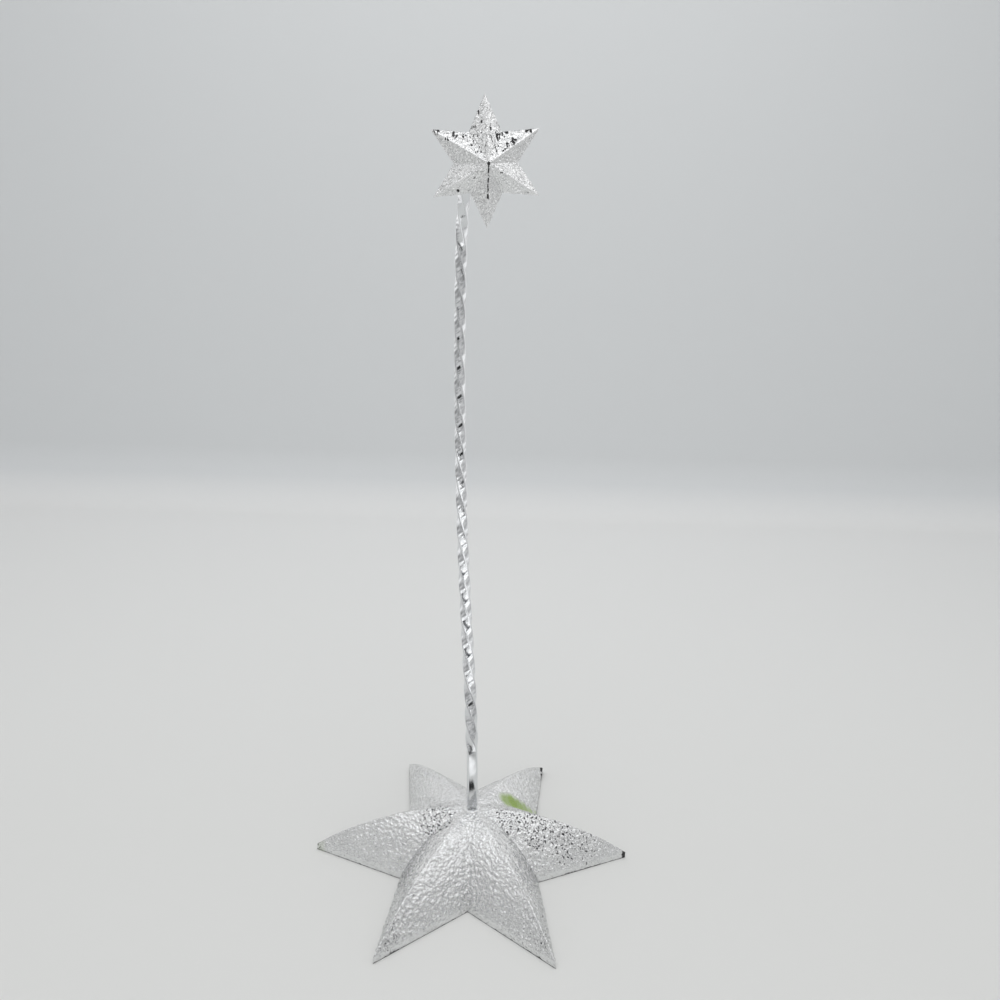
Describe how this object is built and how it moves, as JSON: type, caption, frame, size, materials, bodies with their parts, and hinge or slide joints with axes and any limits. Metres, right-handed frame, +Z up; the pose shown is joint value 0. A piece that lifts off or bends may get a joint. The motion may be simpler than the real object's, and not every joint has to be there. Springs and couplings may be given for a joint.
{
  "type": "ornament stand",
  "caption": "Table stand for a hanging ornament: a hollow cast star foot, a twisted square bar that bows back and over, and a small cast star at the bar's end.",
  "frame": {"origin": "on the floor, below the middle of the star foot", "axes": "+Z up; the small star faces -Y; +X to the right seen from the front"},
  "size_m": [0.15, 0.1545, 0.3338],
  "materials": {
    "plated_casting": "bright silver plate over a hammered casting, worn to black at some tips and edges",
    "plated_bar": "bright silver plate over a smooth twisted bar",
    "zinc_fastener": "bright zinc plate"
  },
  "bodies": {
    "root": {"base_star": "plated_casting", "twisted_rod": "plated_bar", "top_star": "plated_casting", "washer": "zinc_fastener", "hex_nut": "zinc_fastener"}
  },
  "joints": []
}
